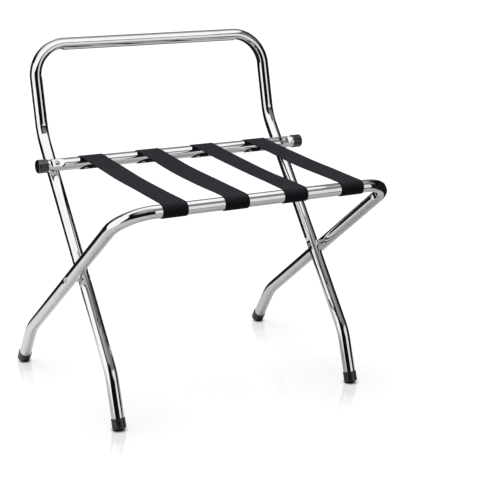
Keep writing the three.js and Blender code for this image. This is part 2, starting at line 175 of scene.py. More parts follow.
PIVOT = at_x(Vector(frame["joints"][0]["pos_m"]), 0)
BACK_LEG_X = box_centre("front_foot_cap_right").x
SEAT_LEG_X = box_centre("rear_foot_cap_right").x
CROSSBAR = at_x(box_centre("rear_crossbar"), 0)
CROSSBAR_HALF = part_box("crossbar_cap_right")[1].x
TOP_RAIL = at_x(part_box("backrest_frame")[1], 0) - Vector((0, TUBE_RADIUS, TUBE_RADIUS))
FRONT_RAIL = Vector((0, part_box("seat_frame")[0].y + TUBE_RADIUS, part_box("seat_frame")[1].z - TUBE_RADIUS))

back_leg = leaning(BACK_LEG_LEAN)
seat_leg = leaning(SEAT_LEG_LEAN)
square_to_leg = Vector((0, -back_leg.z, back_leg.y))
back_bend = crossing(PIVOT, back_leg, TOP_RAIL, leaning(BACKREST_LEAN))
back_low_bend = PIVOT - back_leg * BACK_LEG_BELOW
seat_low_bend = PIVOT - seat_leg * SEAT_LEG_BEHIND
crossbar_on_leg = PIVOT + back_leg * (CROSSBAR - PIVOT).dot(back_leg)


def foot_end(bend, lean):
    """The closed end of a foot's cap, whose rounded edge would reach SOLE_DEPTH below the floor."""
    tilt = radians(abs(lean))
    height = (CAP_RADIUS - CAP_EDGE) * sin(tilt) + CAP_EDGE * (1 - cos(tilt)) - SOLE_DEPTH
    up = leaning(lean)
    return bend + up * ((height - bend.z) / up.z)


front_foot = foot_end(back_low_bend, FRONT_FOOT_LEAN)
rear_foot = foot_end(seat_low_bend, REAR_FOOT_LEAN)

# -------------------- camera

# Its place in metres, its angles in degrees, and its lens and sensor in millimetres.
CAMERA_PLACE = Vector((-1.2434, -2.3764, 1.0486))
CAMERA_TURN = 29.857
CAMERA_DIP = 15.957
CAMERA_ROLL = 0.774
CAMERA_LENS = 96.41
CAMERA_SENSOR = 36
CAMERA_REACH = 60


def make_camera():
    data = bpy.data.cameras.new("camera")
    data.sensor_width = CAMERA_SENSOR
    data.lens = CAMERA_LENS
    data.clip_end = CAMERA_REACH
    camera = bpy.data.objects.new("camera", data)
    turn = Matrix.Rotation(radians(-CAMERA_TURN), 4, "Z")
    dip = Matrix.Rotation(radians(90 - CAMERA_DIP), 4, "X")
    roll = Matrix.Rotation(radians(CAMERA_ROLL), 4, "Z")
    camera.matrix_world = Matrix.Translation(CAMERA_PLACE) @ turn @ dip @ roll
    bpy.context.scene.collection.objects.link(camera)
    bpy.context.scene.camera = camera


# -------------------- node helpers


class Nodes:
    """A small builder for one node tree."""

    def __init__(self, tree):
        self.tree = tree
        tree.nodes.clear()

    def add(self, kind, **values):
        node = self.tree.nodes.new(kind)
        for name, value in values.items():
            setattr(node, name, value)
        return node

    def link(self, source, target):
        self.tree.links.new(source, target)

    def put(self, socket, value):
        """Sets a socket to a number or links it to another socket."""
        if isinstance(value, bpy.types.NodeSocket):
            self.link(value, socket)
        else:
            socket.default_value = value

    def math(self, operation, *values):
        node = self.add("ShaderNodeMath", operation=operation)
        for socket, value in zip(node.inputs, values):
            self.put(socket, value)
        return node.outputs[0]

    def vector(self, operation, *values):
        node = self.add("ShaderNodeVectorMath", operation=operation)
        for socket, value in zip(node.inputs, values):
            self.put(socket, value)
        return node.outputs["Value" if operation in ("DISTANCE", "DOT_PRODUCT") else "Vector"]

    def place(self):
        return self.add("ShaderNodeTexCoord").outputs["Object"]

    def split(self, vector):
        node = self.add("ShaderNodeSeparateXYZ")
        self.link(vector, node.inputs[0])
        return node.outputs

    def ramp(self, value, low, high, to_low=0.0, to_high=1.0, smooth=True):
        node = self.add("ShaderNodeMapRange")
        node.interpolation_type = "SMOOTHSTEP" if smooth else "LINEAR"
        for socket, number in zip(node.inputs, (value, low, high, to_low, to_high)):
            self.put(socket, number)
        return node.outputs[0]

    def noise(self, vector, scale, detail, roughness):
        node = self.add("ShaderNodeTexNoise")
        self.put(node.inputs["Vector"], vector)
        node.inputs["Scale"].default_value = scale
        node.inputs["Detail"].default_value = detail
        node.inputs["Roughness"].default_value = roughness
        return node.outputs["Fac"]

    def mix(self, share, dark, light):
        node = self.add("ShaderNodeMix", data_type="RGBA")
        self.put(node.inputs["Factor"], share)
        self.put(node.inputs["A"], dark)
        self.put(node.inputs["B"], light)
        return node.outputs["Result"]

    def choose(self, test, otherwise, value):
        """One number where the test is 0 and another where it is 1."""
        node = self.add("ShaderNodeMix", data_type="FLOAT")
        self.put(node.inputs["Factor"], test)
        self.put(node.inputs["A"], otherwise)
        self.put(node.inputs["B"], value)
        return node.outputs["Result"]

    def bump(self, height, distance):
        node = self.add("ShaderNodeBump")
        node.inputs["Distance"].default_value = distance
        self.link(height, node.inputs["Height"])
        return node.outputs["Normal"]


def grey(value, blue=0.0):
    """A grey as linear RGBA, with this much more blue."""
    return (value, value, value * (1 + blue), 1)


def new_material(name):
    """A material with one Principled shader: returns it with its node builder and the shader."""
    material = bpy.data.materials.new(name)
    material.use_nodes = True
    nodes = Nodes(material.node_tree)
    shader = nodes.add("ShaderNodeBsdfPrincipled")
    output = nodes.add("ShaderNodeOutputMaterial")
    nodes.link(shader.outputs["BSDF"], output.inputs["Surface"])
    return material, nodes, shader


# -------------------- materials

# Colours are linear RGBA.
CHROME_CLEAN = grey(0.90, 0.012)
CHROME_HAZY = grey(0.84, 0.015)
ZINC_BRIGHT = grey(0.82, 0.01)
ZINC_DULL = grey(0.60, 0.03)
PLASTIC_DARK = grey(0.004, 0.2)
PLASTIC_PALE = grey(0.009, 0.25)
PLASTIC_GLOSS_TINT = (0.86, 0.93, 1.0, 1)
RUBBER_BLACK = grey(0.004, 0.08)
RUBBER_DUST = grey(0.030)
DUST_HEIGHT = 7 * MM
# The webbing's colour runs from WEBBING_DARK in the weave's grooves, which is painted shade, to WEBBING_LIGHT
# on the crowns of its ribs.
WEBBING_DARK = (0.0068, 0.0072, 0.0088, 1)
WEBBING_LIGHT = (0.030, 0.032, 0.040, 1)
WEBBING_SHEEN = (0.75, 0.78, 0.9, 1)
SELVEDGE_BLACK = grey(0.008)

# Depths of the bumps on each surface.
CHROME_WAVES = 0.5 * MM
FINE_GRAIN = 0.03 * MM
WEAVE_RELIEF = 0.22 * MM

# The herringbone: a rib's width, a yarn's repeat along the strap, the plain edge, and the yarn's and the
# fuzz's shares of the relief.
WEAVE_RIB = 1.25 * MM
WEAVE_STEP = 1.9 * MM
SELVEDGE = 1.6 * MM
YARN_SHARE = 0.55
FUZZ_SHARE = 0.35


def chrome_material():
    """Polished chrome plate: hazy smudges, polishing marks, and the slight waviness of bent tube."""
    material, nodes, shader = new_material("chrome_plate")
    place = nodes.place()
    haze = nodes.ramp(nodes.noise(place, scale=38, detail=4, roughness=0.6), 0.45, 0.75)
    marks = nodes.noise(place, scale=900, detail=2, roughness=0.7)
    waves = nodes.noise(place, scale=24, detail=1, roughness=0.3)
    shader.inputs["Metallic"].default_value = 1
    nodes.link(nodes.mix(haze, CHROME_CLEAN, CHROME_HAZY), shader.inputs["Base Color"])
    roughness = nodes.math("MULTIPLY_ADD", haze, 0.035, 0.02)
    nodes.link(nodes.math("MULTIPLY_ADD", marks, 0.02, roughness), shader.inputs["Roughness"])
    height = nodes.math("MULTIPLY_ADD", marks, 0.004, waves)
    nodes.link(nodes.bump(height, CHROME_WAVES), shader.inputs["Normal"])
    return material


def steel_material():
    """Bright zinc plate on the small fasteners."""
    material, nodes, shader = new_material("bright_zinc")
    place = nodes.place()
    patch = nodes.noise(place, scale=260, detail=3, roughness=0.6)
    grain = nodes.noise(place, scale=2600, detail=2, roughness=0.6)
    shader.inputs["Metallic"].default_value = 1
    nodes.link(nodes.mix(patch, ZINC_BRIGHT, ZINC_DULL), shader.inputs["Base Color"])
    nodes.link(nodes.ramp(patch, 0.3, 0.7, 0.16, 0.34), shader.inputs["Roughness"])
    nodes.link(nodes.bump(grain, FINE_GRAIN), shader.inputs["Normal"])
    return material


def plastic_material():
    """Satin black moulded plastic with a fine grain."""
    material, nodes, shader = new_material("black_moulded_plastic")
    place = nodes.place()
    patch = nodes.noise(place, scale=120, detail=3, roughness=0.55)
    grain = nodes.noise(place, scale=2200, detail=3, roughness=0.6)
    nodes.link(nodes.mix(patch, PLASTIC_DARK, PLASTIC_PALE), shader.inputs["Base Color"])
    shader.inputs["Specular IOR Level"].default_value = 1.0
    shader.inputs["Specular Tint"].default_value = PLASTIC_GLOSS_TINT
    shader.inputs["Coat Weight"].default_value = 0.7
    shader.inputs["Coat Roughness"].default_value = 0.2
    nodes.link(nodes.ramp(grain, 0.3, 0.7, 0.24, 0.34), shader.inputs["Roughness"])
    nodes.link(nodes.bump(grain, FINE_GRAIN), shader.inputs["Normal"])
    return material


def rubber_material():
    """Black rubber, a little dusty and scuffed where it stands on the floor."""
    material, nodes, shader = new_material("black_rubber")
    place = nodes.place()
    patch = nodes.noise(place, scale=190, detail=4, roughness=0.6)
    grain = nodes.noise(place, scale=1700, detail=3, roughness=0.6)
    low = nodes.ramp(nodes.split(place)["Z"], 0.0, DUST_HEIGHT, 1.0, 0.0)
    dust = nodes.math("MULTIPLY", low, nodes.ramp(patch, 0.4, 0.7))
    nodes.link(nodes.mix(dust, RUBBER_BLACK, RUBBER_DUST), shader.inputs["Base Color"])
    shader.inputs["Specular IOR Level"].default_value = 1.0
    nodes.link(nodes.ramp(patch, 0.25, 0.75, 0.24, 0.36), shader.inputs["Roughness"])
    nodes.link(nodes.bump(grain, FINE_GRAIN), shader.inputs["Normal"])
    return material


def webbing_material(half_width):
    """Black herringbone webbing. Its UV map is in metres: across from the middle, and along."""
    material, nodes, shader = new_material("black_webbing")
    across, length, _ = nodes.split(nodes.add("ShaderNodeUVMap", uv_map="weave").outputs["UV"])
    ribs = nodes.math("DIVIDE", across, WEAVE_RIB)
    rib_crown = nodes.math("ABSOLUTE", nodes.math("SINE", nodes.math("MULTIPLY", ribs, pi)))
    odd = nodes.math("FLOORED_MODULO", nodes.math("FLOOR", ribs), 2.0)
    slant = nodes.math("MULTIPLY", ribs, nodes.ramp(odd, 0.0, 1.0, -1.0, 1.0, smooth=False))
    step = nodes.math("ADD", nodes.math("DIVIDE", length, WEAVE_STEP), slant)
    yarn = nodes.ramp(nodes.math("SINE", nodes.math("MULTIPLY", step, 2 * pi)), -1, 1, smooth=False)
    weave = nodes.math("MULTIPLY", rib_crown, nodes.math("MULTIPLY_ADD", yarn, YARN_SHARE, 1 - YARN_SHARE))
    edge = nodes.ramp(nodes.math("ABSOLUTE", across), half_width - SELVEDGE, half_width - 0.6 * SELVEDGE)
    place = nodes.place()
    fuzz = nodes.noise(place, scale=1500, detail=3, roughness=0.7)
    wear = nodes.noise(place, scale=22, detail=4, roughness=0.6)
    # The colour is darker in the grooves between ribs and yarns, which is painted shade, and varies at random
    # with the wear noise.
    groove_shade_and_wear = nodes.math("MULTIPLY", nodes.ramp(weave, 0.0, 0.9), nodes.ramp(wear, 0.25, 0.8, 0.7, 1.0))
    body = nodes.mix(groove_shade_and_wear, WEBBING_DARK, WEBBING_LIGHT)
    darker = nodes.math("MULTIPLY", edge, 0.65)
    nodes.link(nodes.mix(darker, body, SELVEDGE_BLACK), shader.inputs["Base Color"])
    nodes.link(nodes.ramp(fuzz, 0.3, 0.7, 0.62, 0.86), shader.inputs["Roughness"])
    shader.inputs["Specular IOR Level"].default_value = 0.15
    shader.inputs["Sheen Weight"].default_value = 0.04
    shader.inputs["Sheen Roughness"].default_value = 0.45
    shader.inputs["Sheen Tint"].default_value = WEBBING_SHEEN
    height = nodes.math("MULTIPLY_ADD", fuzz, FUZZ_SHARE, weave)
    nodes.link(nodes.bump(height, WEAVE_RELIEF), shader.inputs["Normal"])
    return material


# -------------------- mesh helpers


def make_object(name, points, faces, material, sharp=None):
    mesh = bpy.data.meshes.new(name)
    mesh.from_pydata([tuple(p) for p in points], [], [tuple(f) for f in faces])
    mesh.validate()
    mesh.shade_smooth()
    if sharp:
        mesh.set_sharp_from_angle(angle=radians(sharp))
    mesh.materials.append(material)
    piece = bpy.data.objects.new(name, mesh)
    bpy.context.scene.collection.objects.link(piece)
    return piece


def stand_for(piece, node):
    """The piece rides on the CAD node's body and is shown in its place."""
    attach(piece, BODY_OF[node])
    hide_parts(node)


def band_faces(first, second):
    """Quads between two closed rings of vertex numbers."""
    count = len(first)
    return [(first[i], first[(i + 1) % count], second[(i + 1) % count], second[i]) for i in range(count)]


def prism_faces(lower, upper):
    """The sides and both ends of a prism, from its two rings of vertex numbers."""
    return band_faces(lower, upper) + [tuple(reversed(lower)), tuple(upper)]


def quarter_turn():
    """Even angles from 0 to 90 degrees."""
    return [radians(90 * i / QUARTER_STEPS) for i in range(QUARTER_STEPS + 1)]


def rounded(profile, radius):
    """A turned profile with every corner between its two ends rounded: points are (radius, height)."""
    points = [np.array(p, float) for p in profile]
    result = [points[0]]
    for before, corner, after in zip(points, points[1:], points[2:]):
        inward, outward = corner - before, after - corner
        reach = min(radius, LIP_SHARE * np.linalg.norm(inward), LIP_SHARE * np.linalg.norm(outward))
        start = corner - inward / np.linalg.norm(inward) * reach
        end = corner + outward / np.linalg.norm(outward) * reach
        for i in range(LIP_STEPS + 1):
            t = i / LIP_STEPS
            result.append((1 - t) ** 2 * start + 2 * t * (1 - t) * corner + t * t * end)
    result.append(points[-1])
    return result


def turned(name, profile, start, direction, material):
    """A turned piece, whose profile starts and ends on the axis or closes on itself."""
    turn = direction.to_track_quat("Z", "Y").to_matrix()
    closed = np.allclose(profile[0], profile[-1])
    profile = profile[:-1] if closed else profile
    angles = [2 * pi * i / TURNED_SIDES for i in range(TURNED_SIDES)]
    points, rings = [], []
    for radius, height in profile:
        on_axis = radius < TINY
        ring = [(0.0, 0.0)] if on_axis else [(radius * cos(a), radius * sin(a)) for a in angles]
        rings.append(list(range(len(points), len(points) + len(ring))))
        points += [start + turn @ Vector((x, y, height)) for x, y in ring]
    faces = []
    pairs = list(zip(rings, rings[1:])) + ([(rings[-1], rings[0])] if closed else [])
    for first, second in pairs:
        if len(first) == 1:
            faces += [(first[0], second[(i + 1) % TURNED_SIDES], second[i]) for i in range(TURNED_SIDES)]
        elif len(second) == 1:
            faces += [(first[i], first[(i + 1) % TURNED_SIDES], second[0]) for i in range(TURNED_SIDES)]
        else:
            faces += band_faces(first, second)
    return make_object(name, points, faces, material, TURNED_SHARP)


def combine(piece, other, operation):
    """Cuts another object from a piece or joins it on, and removes it. All modifiers are applied."""
    modifier = piece.modifiers.new("combine", "BOOLEAN")
    modifier.operation = operation
    modifier.object = other
    modifier.solver = "EXACT"
    bpy.context.view_layer.update()
    evaluated = piece.evaluated_get(bpy.context.evaluated_depsgraph_get())
    mesh = bpy.data.meshes.new_from_object(evaluated)
    piece.modifiers.clear()
    piece.data = mesh
    mesh.set_sharp_from_angle(angle=radians(CUT_SHARP))
    bpy.data.objects.remove(other)


# -------------------- bent tubes


def straight_stations(start, end, flats):
    """Places along a straight: close together near a pressed flat and far apart elsewhere."""
    length = (end - start).length
    direction = (end - start) / length
    marks = set(np.linspace(0, length, max(2, round(length / STRAIGHT_STEP) + 1)))
    for flat in flats:
        reach = (flat["at"] - start).dot(direction)
        off_line = (flat["at"] - start - direction * reach).length
        if off_line < MM and 0 < reach < length:
            near = np.arange(reach - NEAR_FLAT, reach + NEAR_FLAT, FLAT_STEP)
            marks = {m for m in marks if abs(m - reach) > CLEAR_OF_FLAT} | set(near)
    return [{"at": start + direction * m, "along": direction, "presses": []} for m in sorted(marks)]


def bend_stations(before, corner, after, radius, presses):
    """Places round a bend, with what bending presses in on its inner and outer sides."""
    inward, outward = (corner - before).normalized(), (after - corner).normalized()
    turn = inward.angle(outward)
    axis = inward.cross(outward).normalized()
    start = corner - inward * (radius * tan(turn / 2))
    to_centre = axis.cross(inward)
    centre = start + to_centre * radius
    length = radius * turn
    count = ceil(length / BEND_STEP)
    stations = []
    for i in range(count + 1):
        rotation = Matrix.Rotation(turn * i / count, 3, axis)
        from_end = length * min(i, count - i) / count
        side = rotation @ to_centre
        stations.append({
            "at": centre - side * radius,
            "along": rotation @ inward,
            "presses": [
                (side, presses[0] * smooth_step(from_end, 0, INNER_PRESS_RAMP)),
                (-side, presses[1] * smooth_step(from_end, 0, OUTER_PRESS_RAMP)),
            ],
        })
    return stations


def smooth_step(value, low, high):
    t = min(max((value - low) / (high - low), 0.0), 1.0)
    return t * t * (3 - 2 * t)


def tube_stations(corners, flats):
    """Stations from one end of a bent tube to the other. Corners are (point, radius, presses)."""
    stations = []
    start = corners[0][0]
    for before, (corner, radius, presses), after in zip(corners, corners[1:], corners[2:]):
        bend = bend_stations(before[0], corner, after[0], radius, presses)
        stations += straight_stations(start, bend[0]["at"], flats)[:-1] + bend[:-1]
        start = bend[-1]["at"]
    return stations + straight_stations(start, corners[-1][0], flats)


def pressed(offsets, side, limit, depth):
    """Section points kept below a plane, with a soft edge to the flat."""
    softness = min(FLAT_SOFTNESS, FLAT_SOFT_SHARE * depth)
    if softness < TINY:
        return offsets
    over = offsets @ np.array(side) - (limit - depth)
    soft = np.clip(over + softness, 0, 2 * softness) ** 2 / (4 * softness)
    excess = np.where(over > softness, over, soft)
    return offsets - np.outer(excess, side)


def tube_sections(stations, flats, radius):
    """The ring of points at each station, for the outer or the inner wall."""
    angles = np.linspace(0, 2 * pi, TUBE_SIDES, endpoint=False)
    across = stations[0]["along"].orthogonal().normalized()
    rings = []
    for station in stations:
        along = station["along"]
        across = (across - along * across.dot(along)).normalized()
        other = along.cross(across)
        offsets = radius * (np.outer(np.cos(angles), across) + np.outer(np.sin(angles), other))
        presses = list(station["presses"])
        for flat in flats:
            gap = station["at"] - flat["at"]
            if gap.length < FLAT_REACH:
                share = 1 - smooth_step(gap.length, FLAT_HALF, FLAT_REACH)
                presses.append((flat["side"], flat["depth"] * share))
        for side, depth in presses:
            offsets = pressed(offsets, side, radius, depth)
        rings.append(offsets + np.array(station["at"]))
    return rings


def make_tube(name, corners, flats, material):
    """A bent tube with a real wall, open at both ends."""
    stations = tube_stations(corners, flats)
    walls = [tube_sections(stations, flats, r) for r in (TUBE_RADIUS, TUBE_RADIUS - TUBE_WALL)]
    points = np.concatenate(walls[0] + walls[1])
    count = len(stations)
    rings = [list(range(i * TUBE_SIDES, (i + 1) * TUBE_SIDES)) for i in range(2 * count)]
    outer, inner = rings[:count], rings[count:]
    faces = []
    for i in range(count - 1):
        faces += band_faces(outer[i], outer[i + 1])
        faces += band_faces(inner[i + 1], inner[i])
    faces += band_faces(inner[0], outer[0])
    faces += band_faces(outer[-1], inner[-1])
    return make_object(name, points, faces, material, TUBE_SHARP)


def u_corners(leg_points, rail, x):
    """The corners of an upside-down U: up the left leg, along the rail and down the right leg."""
    leg_presses = (LEG_INNER_PRESS, LEG_OUTER_PRESS)
    corner_presses = (CORNER_INNER_PRESS, CORNER_OUTER_PRESS)
    left = [(at_x(point, -x), LEG_BEND_RADIUS, leg_presses) for point in leg_points]
    right = [(at_x(point, x), radius, presses) for point, radius, presses in reversed(left)]
    rails = [(at_x(rail, sign * x), CORNER_RADIUS, corner_presses) for _, sign in SIDES]
    return left + rails + right


def flat_spot(at, side, depth):
    return {"at": at, "side": side, "depth": depth}


def tube_end(cap_end, lean):
    """Where a leg's tube ends inside its cap."""
    return cap_end + leaning(lean) * (CAP_FLOOR + CAP_CLEARANCE)


def backrest_frame(chrome):
    flats = []
    for _, sign in SIDES:
        outward = Vector((sign, 0, 0))
        pivot, saddle = at_x(PIVOT, sign * BACK_LEG_X), at_x(crossbar_on_leg, sign * BACK_LEG_X)
        flats += [
            flat_spot(pivot, outward, BACK_SPACER_FLAT),
            flat_spot(pivot, -outward, INNER_PIVOT_FLAT),
            flat_spot(saddle, square_to_leg, SADDLE_FLAT),
            flat_spot(saddle, -square_to_leg, NUT_FLAT),
        ]
    legs = [tube_end(front_foot, FRONT_FOOT_LEAN), back_low_bend, back_bend]
    corners = u_corners(legs, TOP_RAIL, BACK_LEG_X)
    stand_for(make_tube("chrome_backrest_frame", corners, flats, chrome), "backrest_frame")


def seat_frame(chrome):
    flats = []
    for _, sign in SIDES:
        outward = Vector((sign, 0, 0))
        pivot = at_x(PIVOT, sign * SEAT_LEG_X)
        flats += [flat_spot(pivot, outward, OUTER_PIVOT_FLAT), flat_spot(pivot, -outward, SEAT_SPACER_FLAT)]
    corners = u_corners([tube_end(rear_foot, REAR_FOOT_LEAN), seat_low_bend], FRONT_RAIL, SEAT_LEG_X)
    stand_for(make_tube("chrome_seat_frame", corners, flats, chrome), "seat_frame")


def rear_crossbar(chrome):
    end = CROSSBAR_HALF - CAP_FLOOR - CAP_CLEARANCE
    corners = [(at_x(CROSSBAR, sign * end), 0, (0, 0)) for _, sign in SIDES]
    flats = [flat_spot(at_x(CROSSBAR, sign * BACK_LEG_X), square_to_leg, BOLT_FLAT) for _, sign in SIDES]
    stand_for(make_tube("chrome_rear_crossbar", corners, flats, chrome), "rear_crossbar")


# -------------------- caps


def cap_profile():
    """A push-on cap with a blind bore and a band round its mouth: the closed end is at height 0."""
    centre = CAP_RADIUS - CAP_EDGE
    corner = [(centre + CAP_EDGE * sin(a), CAP_EDGE * (1 - cos(a))) for a in quarter_turn()]
    band = CAP_LENGTH - CAP_MOUTH_BAND
    wall = [
        (CAP_RADIUS - CAP_BAND_STEP, band - CAP_BAND_SLOPE),
        (CAP_RADIUS, band),
        (CAP_RADIUS, CAP_LENGTH),
        (CAP_BORE, CAP_LENGTH),
        (CAP_BORE, CAP_FLOOR),
        (0, CAP_FLOOR),
    ]
    return [(0, 0), (CAP_RADIUS / 2, 0)] + corner + rounded([corner[-1]] + wall, CAP_LIP)[1:]


def foot_caps(rubber):
    """The feet's caps. What would lie below the floor is pressed up level with it."""
    feet = [
        ("front", front_foot, FRONT_FOOT_LEAN, BACK_LEG_X),
        ("rear", rear_foot, REAR_FOOT_LEAN, SEAT_LEG_X),
    ]
    for end, place, lean, x in feet:
        for side, sign in SIDES:
            node = f"{end}_foot_cap_{side}"
            start = at_x(place, sign * x)
            cap = turned(f"rubber_{node}", cap_profile(), start, leaning(lean), rubber)
            for vertex in cap.data.vertices:
                vertex.co.z = max(vertex.co.z, 0.0)
            stand_for(cap, node)


def crossbar_caps(plastic):
    for side, sign in SIDES:
        start = at_x(CROSSBAR, sign * CROSSBAR_HALF)
        inward = Vector((-sign, 0, 0))
        name = f"crossbar_cap_{side}"
        stand_for(turned(f"moulded_{name}", cap_profile(), start, inward, plastic), name)


# -------------------- fasteners

FASTENER_LIP = 0.5 * MM
BOLT_LIP = 0.6 * MM
RIVET_SEATING = 0.1 * MM
SCREW_SEATING = 0.15 * MM


def at_pivots(kind, profile, inner_x, steel):
    """One turned piece on each side of the rack, on the pivots' axis and outward from inner_x."""
    for side, sign in SIDES:
        node = f"{kind}_{side}"
        start = at_x(PIVOT, sign * inner_x)
        piece = turned(f"steel_{node}", rounded(profile, FASTENER_LIP), start, Vector((sign, 0, 0)), steel)
        stand_for(piece, node)


def pivot_rivets(steel):
    """A domed head with a sunk centre outside the seat leg, and a rolled tail inside the back leg."""
    tail_face = BACK_LEG_X - TUBE_RADIUS + INNER_PIVOT_FLAT - RIVET_SEATING
    length = SEAT_LEG_X + TUBE_RADIUS - OUTER_PIVOT_FLAT + RIVET_SEATING - tail_face
    shank, head, tail, cup = 3 * MM, 6 * MM, 5 * MM, 1.8 * MM
    tail_cup, tail_rim, tail_wall, tail_end = -1.0 * MM, -1.2 * MM, -2.2 * MM, -2.4 * MM
    head_rim, head_cup, head_slope, head_end = (length + h * MM for h in (0.8, 1.2, 2.3, 2.8))
    profile = [
        (0, tail_cup), (cup, tail_cup), (cup, tail_wall), (tail + tail_rim, tail_end), (tail, tail_rim),
        (tail, 0), (shank, 0), (shank, length), (head, length), (head, head_rim),
        (head - 2 * MM, head_slope), (cup, head_end), (cup, head_cup), (0, head_cup),
    ]
    at_pivots("pivot_rivet", profile, tail_face, steel)


def pivot_spacers(steel):
    """A thick washer between the two legs' flats at each pivot."""
    inner_face = BACK_LEG_X + TUBE_RADIUS - BACK_SPACER_FLAT
    length = SEAT_LEG_X - TUBE_RADIUS + SEAT_SPACER_FLAT - inner_face
    bore, radius = 3.35 * MM, 7.5 * MM
    middle = (bore, length / 2)
    profile = [middle, (bore, 0), (radius, 0), (radius, length), (bore, length), middle]
    at_pivots("pivot_spacer", profile, inner_face, steel)


def hexagon(name, radius, low, high, start, direction, material):
    """A six-sided prism along a direction: a nut's body, or the cutter for a socket."""
    turn = direction.to_track_quat("Z", "Y").to_matrix()
    angles = [2 * pi * i / HEXAGON for i in range(HEXAGON)]
    ring = [(radius * cos(a), radius * sin(a)) for a in angles]
    points = [start + turn @ Vector((x, y, height)) for height in (low, high) for x, y in ring]
    faces = prism_faces(list(range(HEXAGON)), list(range(HEXAGON, 2 * HEXAGON)))
    return make_object(name, points, faces, material, PRISM_SHARP)


def crossbar_bolts(steel):
    """Button-head bolts with a hexagon socket, sunk in the flats at the front of the crossbar."""
    end = -(TUBE_RADIUS - NUT_FLAT) - 4.5 * MM
    face = (CROSSBAR - crossbar_on_leg).dot(square_to_leg) + TUBE_RADIUS - BOLT_FLAT
    shank, head, shoulder, crown = 2.5 * MM, 5.5 * MM, 4.3 * MM, 2.3 * MM
    rim, slope, height = 0.7 * MM, 1.9 * MM, 2.7 * MM
    socket, socket_floor = 1.7 * MM, 0.9 * MM
    profile = [
        (0, end), (shank, end), (shank, face), (head, face), (head, face + rim), (shoulder, face + slope),
        (crown, face + height), (0, face + height),
    ]
    for side, sign in SIDES:
        start = at_x(crossbar_on_leg, sign * BACK_LEG_X)
        node = f"crossbar_bolt_{side}"
        bolt = turned(f"steel_{node}", rounded(profile, BOLT_LIP), start, square_to_leg, steel)
        low, high = face + socket_floor, face + 2 * height
        combine(bolt, hexagon("socket", socket, low, high, start, square_to_leg, steel), "DIFFERENCE")
        stand_for(bolt, node)


def crossbar_nuts(steel):
    """Domed nuts behind the legs."""
    hex_radius, hex_height, dome_radius, height = 5.1 * MM, 4 * MM, 4.2 * MM, 7 * MM
    chamfer, chamfer_steps = 0.5 * MM, 3
    dome_start = hex_height + 0.4 * MM
    rise = height - dome_start
    dome = [(dome_radius * cos(a), dome_start + rise * sin(a)) for a in quarter_turn()[:-1]]
    inside = hex_height - MM
    profile = [(0, inside), (dome_radius, inside)] + dome + [(0, height)]
    backward = -square_to_leg
    for side, sign in SIDES:
        face = at_x(crossbar_on_leg, sign * BACK_LEG_X) + backward * (TUBE_RADIUS - NUT_FLAT)
        node = f"crossbar_nut_{side}"
        nut = hexagon(f"steel_{node}", hex_radius, 0, hex_height, face, backward, steel)
        bevel = nut.modifiers.new("bevel", "BEVEL")
        bevel.width = chamfer
        bevel.segments = chamfer_steps
        bevel.limit_method = "ANGLE"
        combine(nut, turned("dome", profile, face, backward, steel), "UNION")
        stand_for(nut, node)


def screw_mesh(steel):
    """A pan-head screw with a cross recess, along +Z, with the underside of its head at 0."""
    head, height, shank, length, point = 4 * MM, 2.2 * MM, 1.75 * MM, 6.5 * MM, 1.5 * MM
    rim, slope, shoulder, crown = 0.8 * MM, 1.6 * MM, 3.3 * MM, 1.8 * MM
    profile = [
        (0, -length), (shank, point - length), (shank, 0), (head, 0), (head, rim), (shoulder, slope),
        (crown, height), (0, height),
    ]
    screw = turned("strap_screw", rounded(profile, FASTENER_LIP), Vector(), Vector((0, 0, 1)), steel)
    narrow, wide, recess_floor, above = 0.45 * MM, 1.9 * MM, 0.8 * MM, 4 * MM
    for half_x, half_y in ((narrow, wide), (wide, narrow)):
        points = [(x * half_x, y * half_y, z) for z in (recess_floor, above) for x, y in SQUARE]
        slot = make_object("slot", points, prism_faces([0, 1, 2, 3], [4, 5, 6, 7]), steel)
        combine(screw, slot, "DIFFERENCE")
    mesh = screw.data
    bpy.data.objects.remove(screw)
    return mesh


def strap_screws(steel):
    """Two screws in each end of each strap, each left at its own angle."""
    mesh = screw_mesh(steel)
    turn_by_strap, turn_by_side = 37, 20
    rows = [("rear", CROSSBAR, leaning(-90 - SCREW_TILT)), ("front", FRONT_RAIL, leaning(90 + SCREW_TILT))]
    for end, rail, direction in rows:
        turn = direction.to_track_quat("Z", "Y").to_matrix().to_4x4()
        for number in STRAPS:
            for side, sign in SIDES:
                node = f"{end}_strap_screw_{number}_{side}"
                x = box_centre(f"strap_{number}").x + sign * SCREW_SPACING / 2
                screw = bpy.data.objects.new(f"steel_{node}", mesh)
                bpy.context.scene.collection.objects.link(screw)
                angle = turn_by_strap * number + turn_by_side * sign
                spin = Matrix.Rotation(radians(angle), 4, "Z")
                place = at_x(rail, x) + direction * (STRAP_INNER_RADIUS + STRAP_THICKNESS - SCREW_SEATING)
                screw.matrix_world = Matrix.Translation(place) @ turn @ spin
                stand_for(screw, node)


# -------------------- straps

STRAP_COLUMNS = 21
STRAP_ARC_STEP = 4
STRAP_RUN_STEP = 4 * MM
STRAP_EDGE = 0.55 * STRAP_THICKNESS
STRAP_EDGE_ANGLES = (67, 45, 22, 0, -22, -45, -67)

# How the webbing strays from flat on its run, in full from STRAP_FREE past each rail. A wave is (height,
# radians to the metre): the ripple lifts the whole width, the twist tips it and the drift goes sideways.
# The cup lowers both edges.
STRAP_FREE = 80 * MM
STRAP_RIPPLE = (0.25 * MM, 38)
STRAP_TWIST = (0.35 * MM, 21)
STRAP_DRIFT = (0.5 * MM, 9)
STRAP_CUP = 0.5 * MM
STRAP_PHASE = 1.7

# The share of a wrap over which the mesh's rows bend into the tongue's rounded end.
TONGUE_REACH = 0.6


